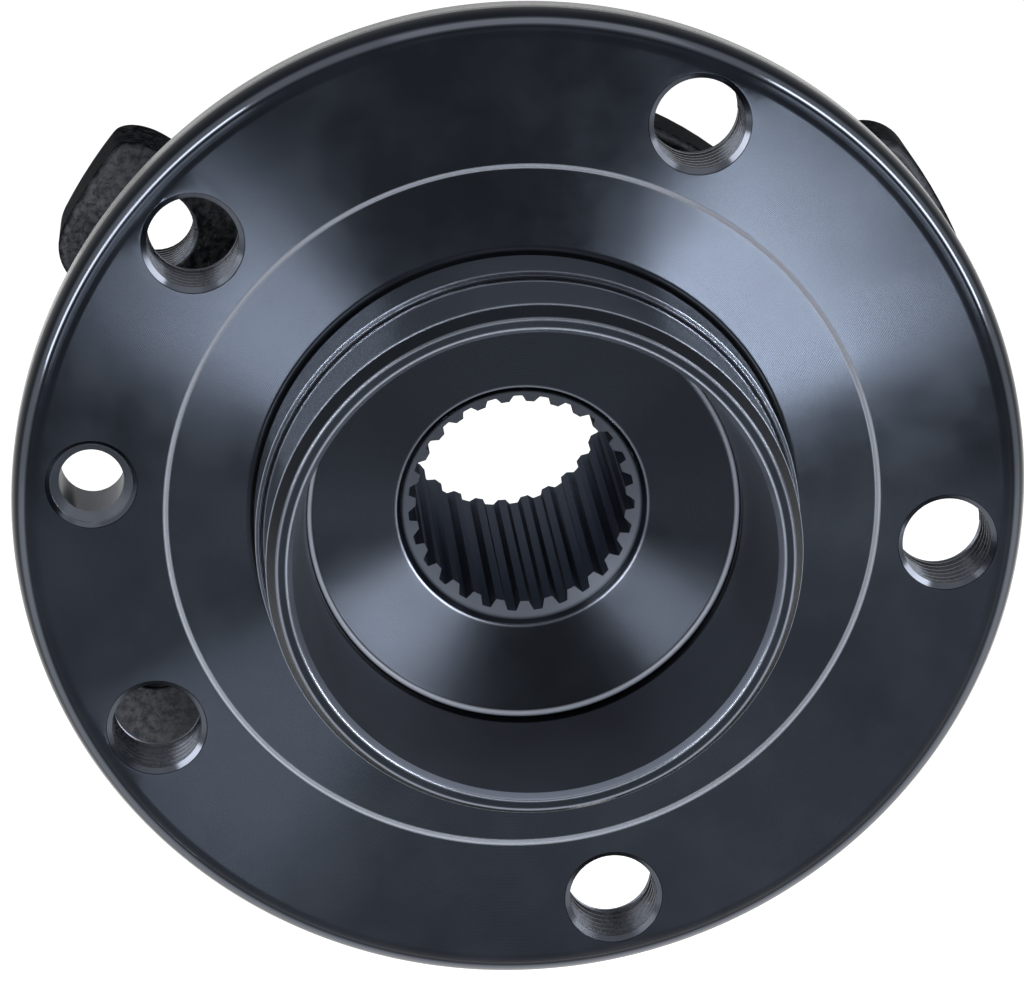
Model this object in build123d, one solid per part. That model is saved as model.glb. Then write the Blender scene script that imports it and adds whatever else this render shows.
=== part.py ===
from build123d import *
import math
import os

os.makedirs("parts", exist_ok=True)

# Driven wheel hub bearing unit, two rows of balls, millimetres.
# The spin axis is Y. The wheel side faces -Y and the axle side +Y, +Z is up.
# The origin is on the axis, in the plane that the brake disc seats on.
# Profiles are drawn as (radius, y), so a "depth" is a distance behind that plane.

# ---- wheel bolts and disc screw ----------------------------------------
BOLT_COUNT = 5
BOLT_PCD = 120.0
BOLT_PHASE = -4.0           # first bolt hole, degrees from +X towards +Z
BOLT_MINOR_R = 6.25         # core of an M14 x 1.5 thread
BOLT_BEVEL = 0.8            # bevel at the mouth of each hole
SCREW_ANGLE = 176.0         # disc screw hole
SCREW_PCD = 120.0
SCREW_R = 4.5
SCREW_BEVEL = 1.85

# ---- wheel flange -------------------------------------------------------
FLANGE_DEPTH = 10.8         # thickness at the wheel bolts
EDGE_DEPTH = 6.9            # thickness at the outer edge
FACE_MARGIN = 0.15          # seat face left outside the bolt holes
EDGE_WIDTH = 3.8            # sloped edge outside the seat face
EDGE_DROP = 1.3             # how far that slope falls
BACK_MARGIN = 1.35          # full thickness left outside the bolt holes
EDGE_ROUND = 1.4            # front rounding of the edge
BACK_ROUND = 1.0            # back rounding of the edge
RELIEF_MARGIN = 3.05        # seat face left inside the bolt holes
RELIEF_DEPTH = 0.4          # relief inside the seat face

# ---- pilots and bowl ----------------------------------------------------
PILOT_R = 36.25             # wheel pilot
PILOT_HEIGHT = 23.05        # its tip, in front of the seat face
PILOT_LEAD = 2.45           # length of its lead taper
PILOT_LEAD_IN = 1.35        # how far the taper narrows it
DISC_STEP = 1.2             # disc pilot outside the wheel pilot
DISC_PILOT_HEIGHT = 9.5
DISC_PILOT_BEVEL = 0.55
PILOT_FILLET = 1.15         # fillet at the foot of the disc pilot
LIP_WIDTH = 1.5             # flat tip of the pilot
LIP_BEVEL = 0.7             # bevel into the bowl
LIP_BEVEL_DEPTH = 1.05
BOWL_TAPER = 2.5            # how far the bowl wall narrows to its floor
BOWL_DEPTH = 0.4            # floor at the wall
BOWL_FILLET = 1.4
NUT_SEAT_DROP = 2.5         # how far the floor cone falls to the spline

# ---- splined bore -------------------------------------------------------
SPLINE_TEETH = 27
SPLINE_MAJOR_R = 15.9       # bottoms of the spaces
TOOTH_HEIGHT = 1.1
SPLINE_FLANK = 30.0         # flank angle, degrees
MOUTH_STEP = 1.65           # mouth bevel outside the spaces
MOUTH_LENGTH = 2.3          # depth of the mouth bevel
LEAD_STEP = 0.3             # narrow end of the lead taper, outside the spaces
LEAD_SPREAD = 2.7           # how far the lead taper widens
LEAD_LENGTH = 7.9           # lead taper at the axle end
TOOTH_RUNOUT = 1.4          # bevel on the axle end of the teeth

# ---- ball rows ----------------------------------------------------------
BALL_R = 6.0
BALL_PITCH_R = 33.0
BALL_COUNT = 14             # in each row
ROW_SPACING = 15.2
GROOVE_CLEARANCE = 0.08     # radial play between ball and groove
INNER_TALL = 3.28           # tall shoulders of the inner raceways, over the groove
OUTER_TALL = 3.88           # land between the rows in the outer ring
LOW_SHOULDER = 0.48         # low shoulders of all four raceways

# ---- cages --------------------------------------------------------------
CAGE_INNER_PLAY = 0.8       # cage to the tall inner shoulder
CAGE_OUTER_PLAY = 2.8       # cage to the low outer shoulder
POCKET_CLEARANCE = 0.15
CAGE_WEB = 1.05             # closed side, behind the pockets
CAGE_FINGER = 3.4           # open side, from the ball centres
FINGER_SLOT = 1.1
FINGER_SLOT_DEPTH = 1.6
CAGE_GAP = 0.8              # cage to the end of the seal land

# ---- hub shaft, inner ring, rolled collar ------------------------------
LAND_STEP = 3.3             # seal land outside the tall shoulder
LAND_FILLET = 4.5           # from the flange's back to the seal land
RING_WALL = 5.4             # inner ring between its seat and low shoulder
SEAT_FILLET = 0.8
RING_OFFSET = 0.8           # ring's front face behind the middle of the rows
RING_PROUD = 0.4            # inner ring beyond the outer ring at the axle end
RING_BORE_BEVEL = 1.2
RING_EDGE_BEVEL = 0.5
COLLAR_LIP = 5.0            # collar over the end of the inner ring
COLLAR_LENGTH = 4.0
COLLAR_ROUND = 2.2

# ---- outer ring ---------------------------------------------------------
FLANGE_GAP = 3.4            # wheel flange to the outer ring
SEAL_STEP = 1.0             # seal bores outside the low shoulders
FRONT_BORE_DEPTH = 5.8      # wheel side
LAND_OVERLAP = 0.4          # seal bore beyond the end of the seal land
REAR_BORE_DEPTH = 4.8       # axle side
REAR_BORE_GAP = 0.2         # inboard cage to the end of the rear bore
OUTER_WALL = 5.9            # body on the wheel side, round the seal bore
REGISTER_WALL = 4.4         # spigot that centres in the knuckle
RELIEF_WIDTH = 1.2          # groove in the knuckle face, round the spigot
RELIEF_SINK = 0.5
OUTER_BEVEL = 0.9
BORE_BEVEL = 0.3

# ---- mounting flange with four ears ------------------------------------
KNUCKLE_DEPTH = 43.0        # knuckle face of the ears
EAR_THICK = 12.0
WEB_STEP = 6.2              # flange between the ears, outside the body
EAR_HALF_X = 51.2           # bolt pattern, half spacing across
EAR_HALF_Z = 32.0           # bolt pattern, half spacing up and down
EAR_HOLE_R = 5.4            # core of an M12 x 1.25 thread
EAR_BEVEL = 0.7
EAR_SIDE_WALL = 7.4         # beside each hole
LOW_EAR_EXTRA = 1.9         # the lower two ears are wider by this on each side
EAR_TIP_WALL = 6.26         # outside each hole
EAR_BLEND = 7.0             # hollow blend from ear to web
EAR_CORNER = 6.8            # rounding of the tip's corners
EAR_EDGE = 1.2              # rounding of the front edges
EAR_ROOT_FILLET = 3.0       # fillet from the flange to the body

# ---- seals --------------------------------------------------------------
SHEET = 0.8                 # pressed steel
RUBBER = 0.7                # bonded rubber and lips
CASE_WIDTH = 4.4
FRONT_SET_BACK = 0.4        # case below the outer ring's wheel end
REAR_SET_BACK = 0.1         # case below its axle end
FRONT_CASE_PLAY = 2.3       # case's hole to the seal land
REAR_CASE_PLAY = 2.8        # case's hole to the slinger's sleeve
LIP_GAP = 0.05              # lip to its running surface
AXIAL_LIP_STEP = 4.5        # axial lip outside the seal land
REAR_LIP_STEP = 5.6         # axial lip outside the slinger's sleeve
AXIAL_LIP_GAP = 0.3
SLINGER_PLAY = 0.7          # slinger's disc to the case
SLINGER_WIDTH = 3.5
ENCODER_PLAY = 0.5          # encoder ring to the case
ENCODER_STEP = 0.8          # encoder ring outside the slinger's sleeve
ENCODER_THICK = 0.8
ENCODER_SINK = 0.4          # its back face below the case's end

# ---- derived radii ------------------------------------------------------
FACE_R = BOLT_PCD / 2 + BOLT_MINOR_R + BOLT_BEVEL + FACE_MARGIN
FLANGE_R = FACE_R + EDGE_WIDTH
BACK_R = BOLT_PCD / 2 + BOLT_MINOR_R + BACK_MARGIN
RELIEF_R = BOLT_PCD / 2 - BOLT_MINOR_R - BOLT_BEVEL - RELIEF_MARGIN
DISC_PILOT_R = PILOT_R + DISC_STEP
PILOT_TIP_R = PILOT_R - PILOT_LEAD_IN
LIP_R = PILOT_TIP_R - LIP_WIDTH
BOWL_MOUTH_R = LIP_R - LIP_BEVEL
BOWL_FOOT_R = BOWL_MOUTH_R - BOWL_TAPER
SPLINE_MINOR_R = SPLINE_MAJOR_R - TOOTH_HEIGHT
NUT_SEAT_R = SPLINE_MAJOR_R + MOUTH_STEP
LEAD_R = SPLINE_MAJOR_R + LEAD_STEP
LEAD_END_R = LEAD_R + LEAD_SPREAD
GROOVE_R = BALL_R + GROOVE_CLEARANCE
INNER_HIGH_R = BALL_PITCH_R - GROOVE_R + INNER_TALL
INNER_LOW_R = BALL_PITCH_R - GROOVE_R + LOW_SHOULDER
OUTER_HIGH_R = BALL_PITCH_R + GROOVE_R - OUTER_TALL
OUTER_LOW_R = BALL_PITCH_R + GROOVE_R - LOW_SHOULDER
CAGE_INNER_R = INNER_HIGH_R + CAGE_INNER_PLAY
CAGE_OUTER_R = OUTER_LOW_R - CAGE_OUTER_PLAY
SEAL_LAND_R = INNER_HIGH_R + LAND_STEP
SEAT_R = INNER_LOW_R - RING_WALL
COLLAR_R = SEAT_R + COLLAR_LIP
SEAL_BORE_R = OUTER_LOW_R + SEAL_STEP
OUTER_R = SEAL_BORE_R + OUTER_WALL
REGISTER_R = SEAL_BORE_R + REGISTER_WALL
WEB_R = OUTER_R + WEB_STEP
EAR_HOLE_PITCH_R = math.hypot(EAR_HALF_X, EAR_HALF_Z)
EAR_TIP_R = EAR_HOLE_PITCH_R + EAR_HOLE_R + EAR_TIP_WALL
CASE_WALL_R = SEAL_BORE_R - SHEET
SLEEVE_R = INNER_HIGH_R + SHEET

# ---- derived depths -----------------------------------------------------
NUT_SEAT_DEPTH = BOWL_DEPTH + NUT_SEAT_DROP
MOUTH_DEPTH = NUT_SEAT_DEPTH + MOUTH_LENGTH
OUTER_FRONT = FLANGE_DEPTH + FLANGE_GAP
FRONT_BORE_END = OUTER_FRONT + FRONT_BORE_DEPTH
LAND_END = FRONT_BORE_END - LAND_OVERLAP
CAGE_BACK = BALL_R + POCKET_CLEARANCE + CAGE_WEB
ROW_1 = LAND_END + CAGE_GAP + CAGE_BACK
ROW_2 = ROW_1 + ROW_SPACING
RING_FRONT = (ROW_1 + ROW_2) / 2 + RING_OFFSET
REAR_BORE_START = ROW_2 + CAGE_BACK + REAR_BORE_GAP
OUTER_BACK = REAR_BORE_START + REAR_BORE_DEPTH
RING_BACK = OUTER_BACK + RING_PROUD
HUB_BACK = RING_BACK + COLLAR_LENGTH
LEAD_DEPTH = HUB_BACK - LEAD_LENGTH
SPLINE_END = LEAD_DEPTH - TOOTH_RUNOUT
EAR_FRONT = KNUCKLE_DEPTH - EAR_THICK


def turned(points):
    """Solid of revolution about Y from (radius, y) points."""
    return revolve(make_face(Polyline(*points, close=True)), Axis.Y)


def rounded(points, corners):
    """Face from (radius, y) points, with (point, radius) corners rounded."""
    face = make_face(Polyline(*points, close=True))
    for (r, y), radius in corners:
        corner = face.vertices().sort_by_distance((r, y, 0))[0]
        face = fillet(corner, radius)
    return face


def rod(radius, y0, y1, x=0.0, z=0.0):
    """Cylinder along Y from y0 to y1."""
    return Pos(x, (y0 + y1) / 2, z) * Rot(90, 0, 0) * Cylinder(radius, y1 - y0)


def taper(r0, y0, r1, y1, x=0.0, z=0.0):
    """Cone along Y, r0 wide at y0 and r1 wide at y1."""
    return Pos(x, (y0 + y1) / 2, z) * Rot(90, 0, 0) * Cone(r1, r0, y1 - y0)


def ring_groove(y):
    """Ball groove round the axis at depth y."""
    return Pos(0, y, 0) * Rot(90, 0, 0) * Torus(BALL_PITCH_R, GROOVE_R)


def on_circle(radius, degrees):
    """X and Z of a point, its angle taken from +X towards +Z."""
    a = math.radians(degrees)
    return radius * math.cos(a), radius * math.sin(a)


def plate(sketch, y0, y1):
    """Sketch drawn in X and Z, extruded along Y from y0 to y1."""
    return extrude(Plane.XZ.offset(-y1) * sketch, amount=y1 - y0)


def save(shape, name):
    """Write one node."""
    export_step(shape, f"parts/{name}.step")


# ---- hub: flange, pilots, bowl, shaft and splined bore -----------------
def make_hub():
    foot = (DISC_PILOT_R, RELIEF_DEPTH)
    rim = (FLANGE_R, EDGE_DROP)
    back = (FLANGE_R, EDGE_DEPTH)
    root = (SEAL_LAND_R, FLANGE_DEPTH)
    seat = (SEAT_R, RING_FRONT)
    collar = (COLLAR_R, HUB_BACK)
    floor = (BOWL_FOOT_R, BOWL_DEPTH)
    points = [
        (LIP_R, -PILOT_HEIGHT),
        (PILOT_TIP_R, -PILOT_HEIGHT),
        (PILOT_R, PILOT_LEAD - PILOT_HEIGHT),
        (PILOT_R, -DISC_PILOT_HEIGHT),
        (DISC_PILOT_R - DISC_PILOT_BEVEL, -DISC_PILOT_HEIGHT),
        (DISC_PILOT_R, DISC_PILOT_BEVEL - DISC_PILOT_HEIGHT),
        foot,
        (RELIEF_R - RELIEF_DEPTH, RELIEF_DEPTH),
        (RELIEF_R, 0),
        (FACE_R, 0),
        rim,
        back,
        (BACK_R, FLANGE_DEPTH),
        root,
        (SEAL_LAND_R, LAND_END),
        (INNER_HIGH_R, LAND_END),
        (INNER_HIGH_R, ROW_1),
        (INNER_LOW_R, ROW_1),
        (INNER_LOW_R, RING_FRONT),
        seat,
        (SEAT_R, RING_BACK),
        (COLLAR_R, RING_BACK),
        collar,
        (LEAD_END_R, HUB_BACK),
        (LEAD_R, LEAD_DEPTH),
        (SPLINE_MINOR_R, SPLINE_END),
        (SPLINE_MINOR_R, MOUTH_DEPTH),
        (NUT_SEAT_R, NUT_SEAT_DEPTH),
        floor,
        (BOWL_MOUTH_R, LIP_BEVEL_DEPTH - PILOT_HEIGHT),
    ]
    corners = [
        (foot, PILOT_FILLET),
        (rim, EDGE_ROUND),
        (back, BACK_ROUND),
        (root, LAND_FILLET),
        (seat, SEAT_FILLET),
        (collar, COLLAR_ROUND),
        (floor, BOWL_FILLET),
    ]
    hub = revolve(rounded(points, corners), Axis.Y)
    hub -= ring_groove(ROW_1)

    # wheel bolt holes, bevelled at both ends
    mouth_r = BOLT_MINOR_R + BOLT_BEVEL
    for i in range(BOLT_COUNT):
        x, z = on_circle(BOLT_PCD / 2, BOLT_PHASE + i * 360 / BOLT_COUNT)
        hub -= rod(BOLT_MINOR_R, -1, FLANGE_DEPTH + 1, x, z)
        hub -= taper(mouth_r, 0, BOLT_MINOR_R, BOLT_BEVEL, x, z)
        rear = BOLT_BEVEL / 2
        hub -= taper(BOLT_MINOR_R, FLANGE_DEPTH - rear, BOLT_MINOR_R + rear, FLANGE_DEPTH, x, z)

    # countersunk hole for the disc screw
    x, z = on_circle(SCREW_PCD / 2, SCREW_ANGLE)
    hub -= rod(SCREW_R, -1, FLANGE_DEPTH + 1, x, z)
    hub -= taper(SCREW_R + SCREW_BEVEL, 0, SCREW_R, SCREW_BEVEL, x, z)

    # spline spaces: straight-sided, each as wide as a tooth at the pitch radius
    pitch_r = (SPLINE_MINOR_R + SPLINE_MAJOR_R) / 2
    half_space = math.pi * pitch_r / SPLINE_TEETH / 2
    slope = math.tan(math.radians(SPLINE_FLANK))
    inner_r = SPLINE_MINOR_R - 1
    inner_half = half_space + (pitch_r - inner_r) * slope
    outer_half = half_space - (SPLINE_MAJOR_R - pitch_r) * slope
    space = make_face(Polyline(
        (inner_r, -inner_half),
        (SPLINE_MAJOR_R, -outer_half),
        (SPLINE_MAJOR_R, outer_half),
        (inner_r, inner_half),
        close=True,
    ))
    spaces = [Rot(0, 0, i * 360 / SPLINE_TEETH) * space for i in range(SPLINE_TEETH)]
    hub -= [plate(s, NUT_SEAT_DEPTH - 1, LEAD_DEPTH + 1) for s in spaces]
    return hub


# ---- inner ring of the axle-side row -----------------------------------
def make_inner_ring():
    b = RING_BORE_BEVEL
    e = RING_EDGE_BEVEL
    ring = turned([
        (SEAT_R + b, RING_FRONT),
        (INNER_LOW_R, RING_FRONT),
        (INNER_LOW_R, ROW_2),
        (INNER_HIGH_R, ROW_2),
        (INNER_HIGH_R, RING_BACK - e),
        (INNER_HIGH_R - e, RING_BACK),
        (SEAT_R + b, RING_BACK),
        (SEAT_R, RING_BACK - b),
        (SEAT_R, RING_FRONT + b),
    ])
    return ring - ring_groove(ROW_2)


# ---- outer ring with its mounting flange -------------------------------
def make_outer_ring():
    o = OUTER_BEVEL
    b = BORE_BEVEL
    relief = KNUCKLE_DEPTH - RELIEF_SINK
    body = turned([
        (SEAL_BORE_R + b, OUTER_FRONT),
        (OUTER_R - o, OUTER_FRONT),
        (OUTER_R, OUTER_FRONT + o),
        (OUTER_R, relief),
        (REGISTER_R, relief),
        (REGISTER_R, OUTER_BACK - o),
        (REGISTER_R - o, OUTER_BACK),
        (SEAL_BORE_R + b, OUTER_BACK),
        (SEAL_BORE_R, OUTER_BACK - b),
        (SEAL_BORE_R, REAR_BORE_START),
        (OUTER_LOW_R, REAR_BORE_START),
        (OUTER_LOW_R, ROW_2),
        (OUTER_HIGH_R, ROW_2),
        (OUTER_HIGH_R, ROW_1),
        (OUTER_LOW_R, ROW_1),
        (OUTER_LOW_R, FRONT_BORE_END),
        (SEAL_BORE_R, FRONT_BORE_END),
        (SEAL_BORE_R, OUTER_FRONT + b),
    ])
    body -= ring_groove(ROW_1)
    body -= ring_groove(ROW_2)

    # outline of the mounting flange: round web, four radial ears, rounded tips
    ears = [(sx * EAR_HALF_X, sz * EAR_HALF_Z) for sx in (1, -1) for sz in (1, -1)]
    outline = Circle(WEB_R)
    for x, z in ears:
        extra = LOW_EAR_EXTRA if z < 0 else 0
        width = 2 * (EAR_HOLE_R + EAR_SIDE_WALL + extra)
        turn = Rot(0, 0, math.degrees(math.atan2(z, x)))
        outline += turn * Pos(EAR_TIP_R / 2, 0) * Rectangle(EAR_TIP_R, width)
    outline &= Circle(EAR_TIP_R)
    roots = [v for v in outline.vertices() if abs(math.hypot(v.X, v.Y) - WEB_R) < 0.01]
    outline = fillet(roots, EAR_BLEND)
    tips = [v for v in outline.vertices() if abs(math.hypot(v.X, v.Y) - EAR_TIP_R) < 0.01]
    outline = fillet(tips, EAR_CORNER)
    web = plate(outline, EAR_FRONT, KNUCKLE_DEPTH)
    front = web.edges().filter_by_position(Axis.Y, EAR_FRONT - 0.01, EAR_FRONT + 0.01)
    web = fillet(front, EAR_EDGE)
    web -= rod((OUTER_R + OUTER_LOW_R) / 2, EAR_FRONT - 1, KNUCKLE_DEPTH + 1)
    web -= rod(REGISTER_R + RELIEF_WIDTH, relief, KNUCKLE_DEPTH + 1)
    ring = body + web
    at_root = [
        e for e in ring.edges().filter_by(GeomType.CIRCLE)
        if abs(e.radius - OUTER_R) < 0.001 and abs(e.center().Y - EAR_FRONT) < 0.01
    ]
    ring = fillet(at_root, EAR_ROOT_FILLET)

    # tapped mounting holes
    mouth_r = EAR_HOLE_R + EAR_BEVEL
    for x, z in ears:
        ring -= rod(EAR_HOLE_R, EAR_FRONT - 1, KNUCKLE_DEPTH + 1, x, z)
        ring -= taper(mouth_r, EAR_FRONT, EAR_HOLE_R, EAR_FRONT + EAR_BEVEL, x, z)
        ring -= taper(EAR_HOLE_R, KNUCKLE_DEPTH - EAR_BEVEL, mouth_r, KNUCKLE_DEPTH, x, z)
    return ring


# ---- crown cage: closed side away from the middle ----------------------
def make_cage(row, side):
    """side is -1 with the closed side towards the wheel, 1 towards the axle."""
    y_back = row + side * CAGE_BACK
    y_tip = row - side * CAGE_FINGER
    cage = turned([
        (CAGE_INNER_R, y_back),
        (CAGE_OUTER_R, y_back),
        (CAGE_OUTER_R, y_tip),
        (CAGE_INNER_R, y_tip),
    ])
    step = 360 / BALL_COUNT
    y_slot = y_tip + side * FINGER_SLOT_DEPTH / 2
    pocket = Pos(BALL_PITCH_R, row, 0) * Rot(90, 0, 0) * Sphere(BALL_R + POCKET_CLEARANCE)
    slot = Pos((CAGE_INNER_R + CAGE_OUTER_R) / 2, y_slot, 0) * Box(
        2 * (CAGE_OUTER_R - CAGE_INNER_R), FINGER_SLOT_DEPTH, FINGER_SLOT
    )
    cage = Rot(0, step / 4, 0) * cage
    for i in range(BALL_COUNT):
        cage -= Rot(0, -i * step, 0) * pocket
        cage -= Rot(0, -(i + 0.5) * step, 0) * slot
    return cage


# ---- wheel-side seal ----------------------------------------------------
def make_front_seal():
    y0 = OUTER_FRONT + FRONT_SET_BACK
    y1 = y0 + CASE_WIDTH
    hole_r = SEAL_LAND_R + FRONT_CASE_PLAY
    case = turned([
        (CASE_WALL_R, y0),
        (SEAL_BORE_R, y0),
        (SEAL_BORE_R, y1),
        (hole_r, y1),
        (hole_r, y1 - SHEET),
        (CASE_WALL_R, y1 - SHEET),
    ])
    bond = y1 - SHEET
    face = bond - RUBBER
    tip_r = SEAL_LAND_R + LIP_GAP
    tip_y = FLANGE_DEPTH + AXIAL_LIP_GAP
    lip_r = SEAL_LAND_R + AXIAL_LIP_STEP
    lip = turned([
        (CASE_WALL_R, bond),
        (CASE_WALL_R, face),
        (lip_r - RUBBER, face),
        (lip_r + RUBBER / 2, tip_y),
        (lip_r - RUBBER / 4, tip_y),
        (lip_r - 2.4 * RUBBER, face),
        (hole_r - RUBBER, face - RUBBER / 2),
        (tip_r, face - 1.8 * RUBBER),
        (tip_r, face - RUBBER),
        (hole_r - 1.6 * RUBBER, bond),
    ])
    return case, lip


# ---- axle-side cassette seal -------------------------------------------
def make_rear_seal():
    y1 = OUTER_BACK - REAR_SET_BACK
    y0 = y1 - CASE_WIDTH
    hole_r = SLEEVE_R + REAR_CASE_PLAY
    case = turned([
        (CASE_WALL_R, y1),
        (SEAL_BORE_R, y1),
        (SEAL_BORE_R, y0),
        (hole_r, y0),
        (hole_r, y0 + SHEET),
        (CASE_WALL_R, y0 + SHEET),
    ])
    disc = y1 - ENCODER_SINK
    disc_r = CASE_WALL_R - SLINGER_PLAY
    slinger = turned([
        (INNER_HIGH_R, disc),
        (disc_r, disc),
        (disc_r, disc - SHEET),
        (SLEEVE_R, disc - SHEET),
        (SLEEVE_R, disc - SLINGER_WIDTH),
        (INNER_HIGH_R, disc - SLINGER_WIDTH),
    ])
    encoder = turned([
        (SLEEVE_R + ENCODER_STEP, disc),
        (CASE_WALL_R - ENCODER_PLAY, disc),
        (CASE_WALL_R - ENCODER_PLAY, disc + ENCODER_THICK),
        (SLEEVE_R + ENCODER_STEP, disc + ENCODER_THICK),
    ])
    bond = y0 + SHEET
    face = bond + RUBBER
    tip_r = SLEEVE_R + LIP_GAP
    tip_y = disc - SHEET - AXIAL_LIP_GAP
    lip_r = SLEEVE_R + REAR_LIP_STEP
    lip = turned([
        (CASE_WALL_R, bond),
        (CASE_WALL_R, face),
        (lip_r, face),
        (lip_r + RUBBER, tip_y),
        (lip_r + RUBBER / 2, tip_y),
        (lip_r - 1.4 * RUBBER, face),
        (hole_r - RUBBER, face + RUBBER / 2),
        (tip_r, face + RUBBER),
        (tip_r, face),
        (hole_r - 1.4 * RUBBER, bond),
    ])
    return case, lip, slinger, encoder


save(make_hub(), "hub_flange")
save(make_inner_ring(), "inner_ring")
save(make_outer_ring(), "outer_ring")
save(make_cage(ROW_1, -1), "cage_outboard")
save(make_cage(ROW_2, 1), "cage_inboard")

for row_name, row_y in (("outboard", ROW_1), ("inboard", ROW_2)):
    for i in range(BALL_COUNT):
        bx, bz = on_circle(BALL_PITCH_R, i * 360 / BALL_COUNT)
        save(Pos(bx, row_y, bz) * Sphere(BALL_R), f"ball_{row_name}_{i + 1:02d}")

front_case, front_lip = make_front_seal()
save(front_case, "seal_case_outboard")
save(front_lip, "seal_lip_outboard")

rear_case, rear_lip, slinger, encoder = make_rear_seal()
save(rear_case, "seal_case_inboard")
save(rear_lip, "seal_lip_inboard")
save(slinger, "slinger_inboard")
save(encoder, "encoder_ring")
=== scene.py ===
# %% [markdown]
# # A wheel hub bearing
# The part is a driven wheel hub: a turned, blue-black coated flange with a pilot
# cup and a splined bore, running on two rows of balls inside a forged outer ring
# that bolts to the steering knuckle. Its solids come in as a fixed frame, in
# metres, with the spin axis along Y and the wheel side facing -Y. The lesson
# dresses that frame: it sets up the camera and the light, builds the pieces that
# want finer shapes than the frame has, and gives every surface its finish.

# %% Load the frame
import math

import bpy
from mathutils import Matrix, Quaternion, Vector


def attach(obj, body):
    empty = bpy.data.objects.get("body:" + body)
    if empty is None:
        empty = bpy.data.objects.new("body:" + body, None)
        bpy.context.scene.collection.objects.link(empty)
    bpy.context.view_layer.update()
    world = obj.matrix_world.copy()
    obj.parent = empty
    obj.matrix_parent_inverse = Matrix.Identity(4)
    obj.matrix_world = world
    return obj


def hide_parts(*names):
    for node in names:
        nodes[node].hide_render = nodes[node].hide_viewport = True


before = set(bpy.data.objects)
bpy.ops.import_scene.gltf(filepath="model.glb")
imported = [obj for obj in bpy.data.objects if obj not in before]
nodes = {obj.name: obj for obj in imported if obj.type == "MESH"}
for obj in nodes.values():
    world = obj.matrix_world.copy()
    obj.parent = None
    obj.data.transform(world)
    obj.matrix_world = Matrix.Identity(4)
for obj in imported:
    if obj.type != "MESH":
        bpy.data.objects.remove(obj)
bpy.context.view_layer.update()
MM = 0.001

# %% [markdown]
# ## Camera
# A long lens looks slightly down on the wheel side and a little from the left,
# so the flange shows as a nearly round disc and two ears of the outer ring look
# out behind it. A camera has no mesh to shape, so its place and turn are typed in
# as numbers. The picture is 1024 by 985 pixels, and the lens is given for the
# wider side.

# %% Set up the camera
CAMERA_PLACE = Vector((-46.689, -543.765, 184.876)) * MM
CAMERA_TURN = (71.571, -1.482, -4.231)
LENS = 145.72

bpy.ops.object.select_all(action="DESELECT")
bpy.ops.object.camera_add(location=CAMERA_PLACE,
                          rotation=[math.radians(a) for a in CAMERA_TURN])
camera = bpy.context.object
camera.name = "camera"
camera.data.lens = LENS
camera.data.sensor_width = 36
camera.data.sensor_fit = "HORIZONTAL"
bpy.context.scene.camera = camera
print("camera is", round(CAMERA_PLACE.length, 3), "m from the seat plane's centre")

# %% [markdown]
# ## Sums on sockets
# A finish is a net of nodes. Written out node by node it hides the idea, so two
# small classes let Python write it as sums. Wire wraps an output socket and adds a
# Math node for each sum. Finish makes any other node through one method, which
# takes the node's type, its settings and what goes into its sockets.

# %% The Wire class
class Wire:
    """An output socket that Python can do sums on."""

    def __init__(self, finish, socket):
        self.finish = finish
        self.socket = socket

    def _sum(self, operation, left, right):
        settings = {"operation": operation}
        made = self.finish.add("ShaderNodeMath", settings, {0: left, 1: right})
        return made["Value"]

    def __add__(self, other):
        return self._sum("ADD", self, other)

    __radd__ = __add__

    def __sub__(self, other):
        return self._sum("SUBTRACT", self, other)

    def __rsub__(self, other):
        return self._sum("SUBTRACT", other, self)

    def __mul__(self, other):
        return self._sum("MULTIPLY", self, other)

    def __truediv__(self, other):
        return self._sum("DIVIDE", self, other)

    def __pow__(self, other):
        return self._sum("POWER", self, other)

    def func(self, operation, other=0.0):
        """Any other operation of the Math node, such as MAXIMUM or SQRT."""
        return self._sum(operation, self, other)


print("Wire knows + - * / and **")

# %% The Finish class
class Outputs:
    """The output sockets of one node, each handed out as a Wire."""

    def __init__(self, finish, node):
        self.finish = finish
        self.node = node

    def __getitem__(self, key):
        return Wire(self.finish, self.node.outputs[key])


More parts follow.
